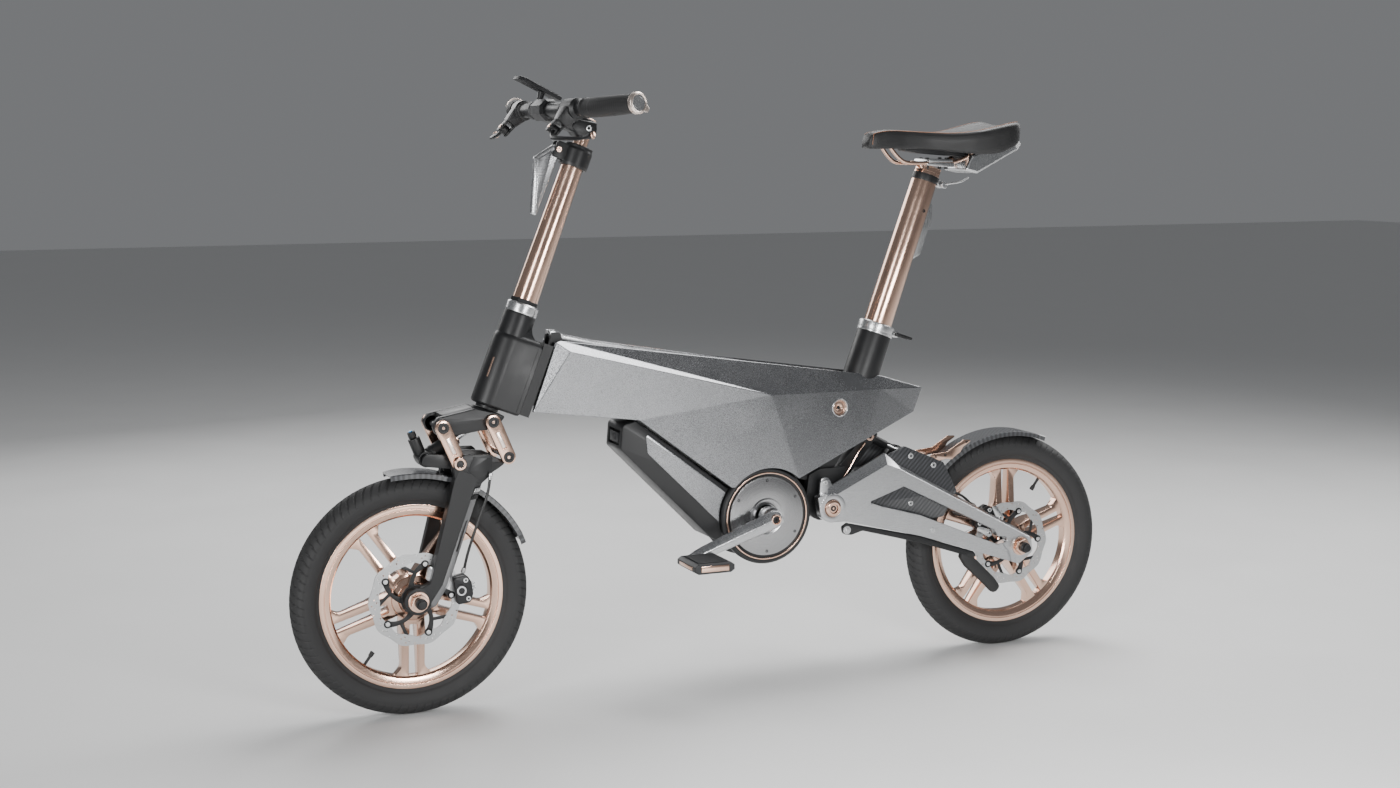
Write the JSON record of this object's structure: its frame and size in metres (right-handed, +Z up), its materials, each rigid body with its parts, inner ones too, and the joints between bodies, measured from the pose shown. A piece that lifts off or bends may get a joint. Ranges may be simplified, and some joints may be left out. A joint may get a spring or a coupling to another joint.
{
  "type": "folding bicycle",
  "caption": "Compact folding bicycle with a faceted shell frame, link front suspension, belt drive, disc brakes, mudguards, telescopic stem and seat post.",
  "frame": {"origin": "on the ground, midway between the two wheel axles, in the wheels' middle plane", "axes": "+X forward, +Y to the rider's left, +Z up"},
  "size_m": [1.5586, 0.6288, 1.066],
  "materials": {
    "shell_grey": "silver-grey metallic paint, satin",
    "satin_black": "satin black coat",
    "rose_gold": "polished rose gold",
    "brushed": "brushed and clear-coated",
    "steel": "brushed",
    "rubber": "matt black",
    "tyre": "matt black tread",
    "carbon": "woven carbon fibre under clear coat",
    "plastic": "fine-grained black",
    "saddle": "black cover with tan stitching"
  },
  "bodies": {
    "frame": {"frame_spine": "satin_black", "left_shell": "shell_grey", "right_shell": "shell_grey", "crank_housing": "satin_black", "left_crank_bearing": "steel", "right_crank_bearing": "steel", "left_cover": "brushed", "lower_beam": "satin_black", "battery_pack": "plastic", "pivot_axle": "rose_gold", "seat_tube": "satin_black", "front_belt": "rubber", "hinge_pin": "steel"},
    "latch": {"latch_lever": "brushed"},
    "head": {"head_casting": "satin_black"},
    "steerer": {"steering_column": "rose_gold", "column_clamp": "satin_black", "fork_crown": "satin_black"},
    "clamp_lever": {"column_clamp_lever": "brushed"},
    "stem": {"stem_tube": "rose_gold", "handlebar": "satin_black", "left_grip": "rubber", "right_grip": "rubber", "display": "plastic"},
    "left_lever": {"left_brake_lever": "satin_black"},
    "right_lever": {"right_brake_lever": "satin_black"},
    "leading_link": {"front_link": "rose_gold"},
    "trailing_link": {"rear_link": "rose_gold"},
    "fork_set": {"fork": "satin_black", "front_shock_body": "satin_black", "front_mudguard": "carbon", "front_caliper": "satin_black", "front_brake_cable": "rubber", "front_axle": "rose_gold"},
    "front_shaft": {"front_shock_shaft": "steel"},
    "front_wheel_set": {"front_wheel": "rose_gold", "front_tyre": "tyre", "front_rotor": "steel"},
    "rocker": {"fold_rocker": "satin_black"},
    "arm": {"swing_arm": "brushed", "rear_mudguard": "carbon", "rear_caliper": "satin_black", "rear_brake_hose": "rubber", "rear_axle": "rose_gold", "rear_belt": "rubber"},
    "rear_damper": {"rear_shock_body": "satin_black"},
    "rear_shaft": {"rear_shock_shaft": "steel"},
    "rear_wheel_set": {"rear_wheel": "rose_gold", "rear_tyre": "tyre", "rear_rotor": "steel"},
    "jack": {"jack_pulley": "steel"},
    "crank": {"left_crank": "brushed", "right_crank": "brushed"},
    "left_pedal_set": {"left_pedal": "plastic"},
    "right_pedal_set": {"right_pedal": "plastic"},
    "stand": {"kickstand": "satin_black"},
    "seat": {"seat_post": "rose_gold", "saddle_rails": "rose_gold", "saddle": "saddle"},
    "seat_clamp": {"seat_lever": "satin_black"}
  },
  "joints": [
    {"name": "latch_lift", "type": "hinge", "parent": "frame", "child": "latch", "pos_m": [0.32, 0, 0.629], "axis": [0, 1, 0], "range_deg": [0, 30]},
    {"name": "front_fold", "type": "hinge", "parent": "frame", "child": "head", "pos_m": [0.366, -0.058, 0.572], "axis": [0, 0, 1], "range_deg": [-175, 0]},
    {"name": "steering", "type": "hinge", "parent": "head", "child": "steerer", "pos_m": [0.42023, 0, 0.55939], "axis": [0.3616, 0, -0.9323], "range_deg": [-45, 45]},
    {"name": "column_clamp_turn", "type": "hinge", "parent": "steerer", "child": "clamp_lever", "pos_m": [0.30986, 0, 0.94348], "axis": [0, -1, 0], "range_deg": [0, 95]},
    {"name": "stem_height", "type": "slide", "parent": "steerer", "child": "stem", "axis": [-0.3616, 0, 0.9323], "range_m": [-0.012, 0.09]},
    {"name": "left_brake_pull", "type": "hinge", "parent": "stem", "child": "left_lever", "pos_m": [0.36, 0.13, 0.976], "axis": [0.7636, 0, 0.6457], "range_deg": [0, 15], "stiffness_Nm_per_rad": 1.5, "springref_deg": -17.19},
    {"name": "right_brake_pull", "type": "hinge", "parent": "stem", "child": "right_lever", "pos_m": [0.36, -0.13, 0.976], "axis": [-0.7636, 0, -0.6457], "range_deg": [0, 15], "stiffness_Nm_per_rad": 1.5, "springref_deg": -17.19},
    {"name": "front_suspension", "type": "hinge", "parent": "steerer", "child": "leading_link", "pos_m": [0.527, 0, 0.489], "axis": [0, 1, 0], "range_deg": [0, 12], "stiffness_Nm_per_rad": 40, "springref_deg": -20.05},
    {"name": "rear_link_turn", "type": "hinge", "parent": "steerer", "child": "trailing_link", "pos_m": [0.441, 0, 0.494], "axis": [0, 1, 0], "range_deg": [0, 12]},
    {"name": "fork_turn", "type": "hinge", "parent": "leading_link", "child": "fork_set", "pos_m": [0.501, 0, 0.4285], "axis": [0, 1, 0], "range_deg": [-12, 0]},
    {"name": "front_shock_travel", "type": "slide", "parent": "fork_set", "child": "front_shaft", "axis": [0.8722, 0, -0.4891], "range_m": [0, 0.0165]},
    {"name": "front_wheel_spin", "type": "hinge", "parent": "fork_set", "child": "front_wheel_set", "pos_m": [0.57625, 0, 0.203], "axis": [0, 1, 0], "continuous": true},
    {"name": "rear_fold", "type": "hinge", "parent": "frame", "child": "rocker", "pos_m": [-0.181, 0, 0.305], "axis": [0, -1, 0], "range_deg": [0, 90]},
    {"name": "rear_suspension", "type": "hinge", "parent": "rocker", "child": "arm", "pos_m": [-0.181, 0, 0.305], "axis": [0, 1, 0], "range_deg": [0, 6], "stiffness_Nm_per_rad": 120, "springref_deg": -31.51},
    {"name": "rear_shock_turn", "type": "hinge", "parent": "rocker", "child": "rear_damper", "pos_m": [-0.284, 0, 0.42], "axis": [0, 1, 0], "range_deg": [0, 11]},
    {"name": "rear_shock_travel", "type": "slide", "parent": "rear_damper", "child": "rear_shaft", "axis": [0.8944, 0, 0.4472], "range_m": [0, 0.0155]},
    {"name": "rear_wheel_spin", "type": "hinge", "parent": "arm", "child": "rear_wheel_set", "pos_m": [-0.57625, 0, 0.203], "axis": [0, 1, 0], "continuous": true},
    {"name": "jack_pulley_spin", "type": "hinge", "parent": "frame", "child": "jack", "pos_m": [-0.181, 0, 0.305], "axis": [0, 1, 0], "continuous": true},
    {"name": "crank_spin", "type": "hinge", "parent": "frame", "child": "crank", "pos_m": [-0.06, 0, 0.297], "axis": [0, 1, 0], "continuous": true},
    {"name": "left_pedal_spin", "type": "hinge", "parent": "crank", "child": "left_pedal_set", "pos_m": [0.09554, 0, 0.24192], "axis": [0, 1, 0], "continuous": true},
    {"name": "right_pedal_spin", "type": "hinge", "parent": "crank", "child": "right_pedal_set", "pos_m": [-0.21554, 0, 0.35208], "axis": [0, 1, 0], "continuous": true},
    {"name": "stand_drop", "type": "hinge", "parent": "arm", "child": "stand", "pos_m": [-0.212, 0, 0.262], "axis": [0, -1, 0], "range_deg": [0, 24]},
    {"name": "seat_height", "type": "slide", "parent": "frame", "child": "seat", "axis": [-0.3404, 0, 0.9403], "range_m": [-0.08, 0]},
    {"name": "seat_clamp_turn", "type": "hinge", "parent": "frame", "child": "seat_clamp", "pos_m": [-0.33727, 0, 0.60625], "axis": [0, -1, 0], "range_deg": [0, 60]}
  ],
  "couplings": [
    {"joint": "rear_link_turn", "follows": "front_suspension", "ratio": 1},
    {"joint": "fork_turn", "follows": "front_suspension", "ratio": -1},
    {"joint": "front_shock_travel", "follows": "front_suspension", "m_per_rad": 0.0657},
    {"joint": "rear_shock_turn", "follows": "rear_suspension", "ratio": 1.75},
    {"joint": "rear_shock_travel", "follows": "rear_suspension", "m_per_rad": 0.144},
    {"joint": "jack_pulley_spin", "follows": "crank_spin", "ratio": 2.6364}
  ]
}
